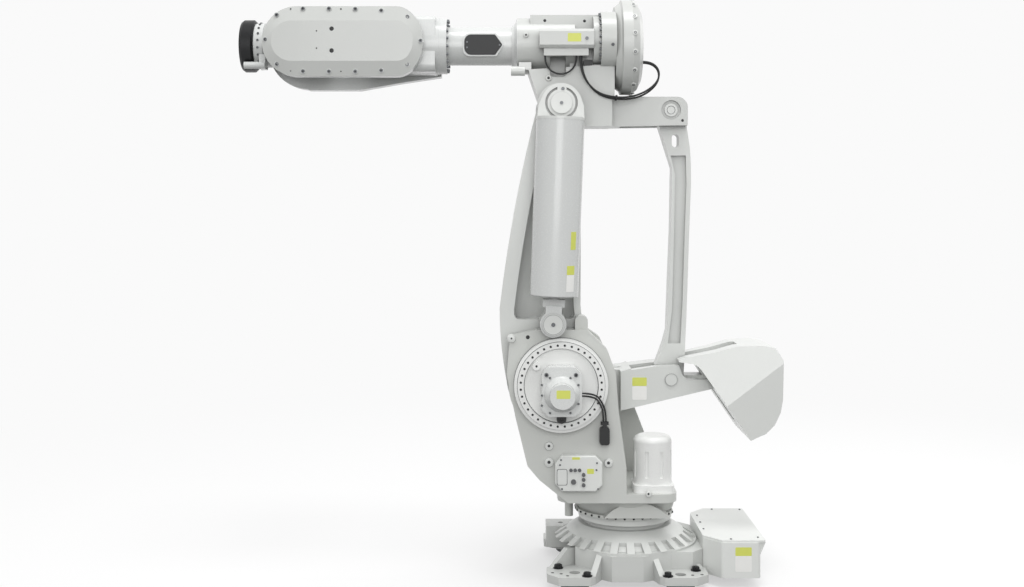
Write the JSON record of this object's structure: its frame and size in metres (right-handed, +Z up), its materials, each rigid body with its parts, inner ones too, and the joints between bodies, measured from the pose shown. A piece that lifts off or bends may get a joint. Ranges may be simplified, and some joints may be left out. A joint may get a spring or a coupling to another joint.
{
  "type": "industrial robot arm",
  "caption": "Heavy-payload floor robot arm with a parallel linkage, a balancing spring, a counterweight and a long forearm with a bending wrist.",
  "frame": {"origin": "on the floor, on the vertical axis about which the column turns", "axes": "+X forward to the tool, +Y to the side of the axis 2 motor, +Z up"},
  "size_m": [3.096, 1.24, 3.304],
  "materials": {
    "white_paint": "gloss paint on castings",
    "white_aluminium": "gloss paint on light castings and housings",
    "black_steel": "blackened steel",
    "black_cover": "satin black cover",
    "cable_sheath": "black cable sheath",
    "connector_metal": "dull plated connectors",
    "foot_steel": "grey levelling feet"
  },
  "bodies": {
    "base": {"base_casting": "white_paint", "foot_front_near": "foot_steel", "foot_front_far": "foot_steel", "foot_back_near": "foot_steel", "foot_back_far": "foot_steel", "connector_box": "white_aluminium", "connector_box_lid": "white_aluminium"},
    "column": {"turntable_ring": "white_paint", "column_casting": "white_paint", "axis_1_motor": "white_paint", "axis_2_drive_ring": "white_paint", "axis_2_gear_disc": "white_paint", "axis_2_motor": "white_paint", "axis_3_drive_ring": "white_paint", "axis_3_gear_disc": "white_paint", "axis_3_motor": "white_paint", "service_panel": "white_paint", "panel_connectors": "connector_metal", "spring_foot_pin": "white_paint", "cable_boot": "cable_sheath", "drive_cable_outer": "cable_sheath", "drive_cable_inner": "cable_sheath"},
    "lower_arm": {"lower_arm_casting": "white_paint"},
    "elbow": {"elbow_pin": "white_paint"},
    "spring_housing": {"spring_cylinder": "white_paint", "spring_head": "white_paint"},
    "spring_ram": {"spring_rod": "white_paint"},
    "parallel_arm": {"parallel_arm": "white_paint", "counterweight_hood": "white_paint"},
    "link_pin": {"lower_link_pin": "white_paint"},
    "parallel_rod": {"parallel_rod": "white_paint"},
    "upper_arm": {"upper_arm_casting": "white_paint", "upper_link_pin": "white_paint", "gear_dome": "white_paint", "near_motor_flange": "white_paint", "near_arm_motor": "white_aluminium", "far_arm_motor": "white_aluminium", "arm_drain_knob": "white_paint", "motor_cable_loop": "cable_sheath", "dome_cable_far": "cable_sheath", "dome_cable_near": "cable_sheath"},
    "forearm": {"forearm_collar": "white_aluminium", "forearm_tube": "white_aluminium", "hatch_plate": "black_cover", "forearm_flange_ring": "white_aluminium", "wrist_housing": "white_aluminium", "wrist_side_cover": "white_aluminium"},
    "wrist": {"wrist_tilt_housing": "white_aluminium"},
    "tool_flange": {"tool_flange": "black_steel"}
  },
  "joints": [
    {"name": "axis_1", "type": "hinge", "parent": "base", "child": "column", "pos_m": [0, 0, 0.3], "axis": [0, 0, 1], "range_deg": [-170, 170]},
    {"name": "axis_2", "type": "hinge", "parent": "column", "child": "lower_arm", "pos_m": [0.385, 0, 1.125], "axis": [0, 1, 0], "range_deg": [-45, 45]},
    {"name": "axis_3", "type": "hinge", "parent": "column", "child": "parallel_arm", "pos_m": [0.385, 0, 1.125], "axis": [0, 1, 0], "range_deg": [-20, 45]},
    {"name": "axis_4", "type": "hinge", "parent": "upper_arm", "child": "forearm", "pos_m": [0.622, 0, 3.038], "axis": [1, 0, 0], "range_deg": [-300, 300]},
    {"name": "axis_5", "type": "hinge", "parent": "forearm", "child": "wrist", "pos_m": [1.865, 0, 3.038], "axis": [0, 1, 0], "range_deg": [-120, 120]},
    {"name": "axis_6", "type": "hinge", "parent": "wrist", "child": "tool_flange", "pos_m": [2.135, 0, 3.038], "axis": [1, 0, 0], "range_deg": [-360, 360]},
    {"name": "elbow_level", "type": "hinge", "parent": "lower_arm", "child": "elbow", "pos_m": [0.385, 0, 2.675], "axis": [0, 1, 0], "range_deg": [-46, 46]},
    {"name": "upper_arm_swing", "type": "hinge", "parent": "elbow", "child": "upper_arm", "pos_m": [0.385, 0, 2.675], "axis": [0, 1, 0], "range_deg": [-21, 46]},
    {"name": "link_pin_level", "type": "hinge", "parent": "parallel_arm", "child": "link_pin", "pos_m": [-0.26, -0.04, 1.113], "axis": [0, 1, 0], "range_deg": [-46, 21]},
    {"name": "rod_swing", "type": "hinge", "parent": "link_pin", "child": "parallel_rod", "pos_m": [-0.26, -0.04, 1.113], "axis": [0, 1, 0], "range_deg": [-46, 46]},
    {"name": "spring_swing", "type": "hinge", "parent": "lower_arm", "child": "spring_housing", "pos_m": [0.385, 0.4, 2.675], "axis": [0, 1, 0], "range_deg": [-11, 11]},
    {"name": "spring_foot", "type": "hinge", "parent": "column", "child": "spring_ram", "pos_m": [0.43, 0.4, 1.465], "axis": [0, 1, 0], "range_deg": [-56, 56]}
  ],
  "couplings": [
    {"joint": "elbow_level", "follows": "axis_2", "ratio": -1},
    {"joint": "upper_arm_swing", "follows": "axis_3", "ratio": 1},
    {"joint": "link_pin_level", "follows": "axis_3", "ratio": -1},
    {"joint": "rod_swing", "follows": "axis_2", "ratio": 1},
    {"joint": "spring_swing", "follows": "axis_2", "ratio": 0.233},
    {"joint": "spring_foot", "follows": "axis_2", "ratio": 1.233}
  ]
}
